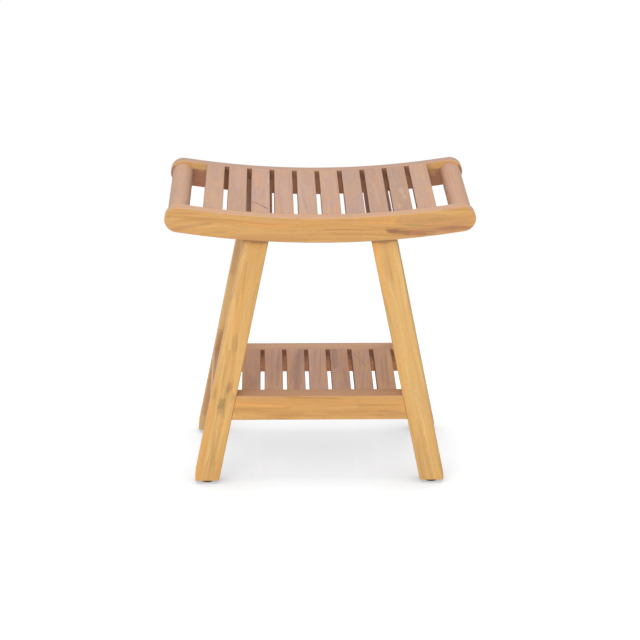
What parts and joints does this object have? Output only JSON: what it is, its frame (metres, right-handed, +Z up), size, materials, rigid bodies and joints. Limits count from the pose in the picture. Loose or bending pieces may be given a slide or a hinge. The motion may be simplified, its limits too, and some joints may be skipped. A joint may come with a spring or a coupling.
{
  "type": "teak shower bench",
  "caption": "Dished slatted teak shower bench with a dowel handle at each end, splayed legs, a slatted shelf below and levelling feet.",
  "frame": {"origin": "on the floor under the middle of the bench", "axes": "+X along the seat, +Y from the front to the back, +Z up"},
  "size_m": [0.508, 0.33, 0.4915],
  "materials": {
    "seat_rail": "oiled teak, satin",
    "seat_slat": "sanded teak, matte",
    "handle": "turned teak, matte",
    "cross_rail": "oiled teak, satin",
    "leg": "oiled teak, satin",
    "stretcher": "oiled teak, satin",
    "shelf_rail": "oiled teak, satin",
    "shelf_slat": "sanded teak, matte",
    "dowel": "raw hardwood",
    "pin": "raw hardwood",
    "insert": "machined",
    "foot_screw": "machined",
    "foot_pad": "moulded, matte"
  },
  "bodies": {
    "frame": {"seat_rail_front": "seat_rail", "seat_rail_rear": "seat_rail", "seat_slat_1": "seat_slat", "seat_slat_2": "seat_slat", "seat_slat_3": "seat_slat", "seat_slat_4": "seat_slat", "seat_slat_5": "seat_slat", "seat_slat_6": "seat_slat", "seat_slat_7": "seat_slat", "seat_slat_8": "seat_slat", "seat_slat_9": "seat_slat", "seat_slat_10": "seat_slat", "handle_left": "handle", "handle_right": "handle", "cross_rail_left": "cross_rail", "cross_rail_right": "cross_rail", "leg_front_left": "leg", "leg_front_right": "leg", "leg_rear_left": "leg", "leg_rear_right": "leg", "stretcher_left": "stretcher", "stretcher_right": "stretcher", "shelf_rail_front": "shelf_rail", "shelf_rail_rear": "shelf_rail", "shelf_slat_1": "shelf_slat", "shelf_slat_2": "shelf_slat", "shelf_slat_3": "shelf_slat", "shelf_slat_4": "shelf_slat", "shelf_slat_5": "shelf_slat", "shelf_slat_6": "shelf_slat", "shelf_slat_7": "shelf_slat", "leg_dowels": "dowel", "locking_pins": "pin", "foot_inserts": "insert"},
    "pad_front_left": {"foot_pad_front_left": "foot_pad"},
    "screw_front_left": {"foot_screw_front_left": "foot_screw"},
    "pad_front_right": {"foot_pad_front_right": "foot_pad"},
    "screw_front_right": {"foot_screw_front_right": "foot_screw"},
    "pad_rear_left": {"foot_pad_rear_left": "foot_pad"},
    "screw_rear_left": {"foot_screw_rear_left": "foot_screw"},
    "pad_rear_right": {"foot_pad_rear_right": "foot_pad"},
    "screw_rear_right": {"foot_screw_rear_right": "foot_screw"}
  },
  "joints": [
    {"name": "front_left_foot_height", "type": "slide", "parent": "frame", "child": "pad_front_left", "axis": [0, 0, -1], "range_m": [0, 0.008]},
    {"name": "front_left_screw_turn", "type": "hinge", "parent": "pad_front_left", "child": "screw_front_left", "pos_m": [-0.1899, -0.124, 0.0175], "axis": [0, 0, -1], "range_deg": [0, 2880]},
    {"name": "front_right_foot_height", "type": "slide", "parent": "frame", "child": "pad_front_right", "axis": [0, 0, -1], "range_m": [0, 0.008]},
    {"name": "front_right_screw_turn", "type": "hinge", "parent": "pad_front_right", "child": "screw_front_right", "pos_m": [0.1899, -0.124, 0.0175], "axis": [0, 0, -1], "range_deg": [0, 2880]},
    {"name": "rear_left_foot_height", "type": "slide", "parent": "frame", "child": "pad_rear_left", "axis": [0, 0, -1], "range_m": [0, 0.008]},
    {"name": "rear_left_screw_turn", "type": "hinge", "parent": "pad_rear_left", "child": "screw_rear_left", "pos_m": [-0.1899, 0.124, 0.0175], "axis": [0, 0, -1], "range_deg": [0, 2880]},
    {"name": "rear_right_foot_height", "type": "slide", "parent": "frame", "child": "pad_rear_right", "axis": [0, 0, -1], "range_m": [0, 0.008]},
    {"name": "rear_right_screw_turn", "type": "hinge", "parent": "pad_rear_right", "child": "screw_rear_right", "pos_m": [0.1899, 0.124, 0.0175], "axis": [0, 0, -1], "range_deg": [0, 2880]}
  ],
  "couplings": [
    {"joint": "front_left_screw_turn", "follows": "front_left_foot_height", "rad_per_m": 6283.2},
    {"joint": "front_right_screw_turn", "follows": "front_right_foot_height", "rad_per_m": 6283.2},
    {"joint": "rear_left_screw_turn", "follows": "rear_left_foot_height", "rad_per_m": 6283.2},
    {"joint": "rear_right_screw_turn", "follows": "rear_right_foot_height", "rad_per_m": 6283.2}
  ]
}
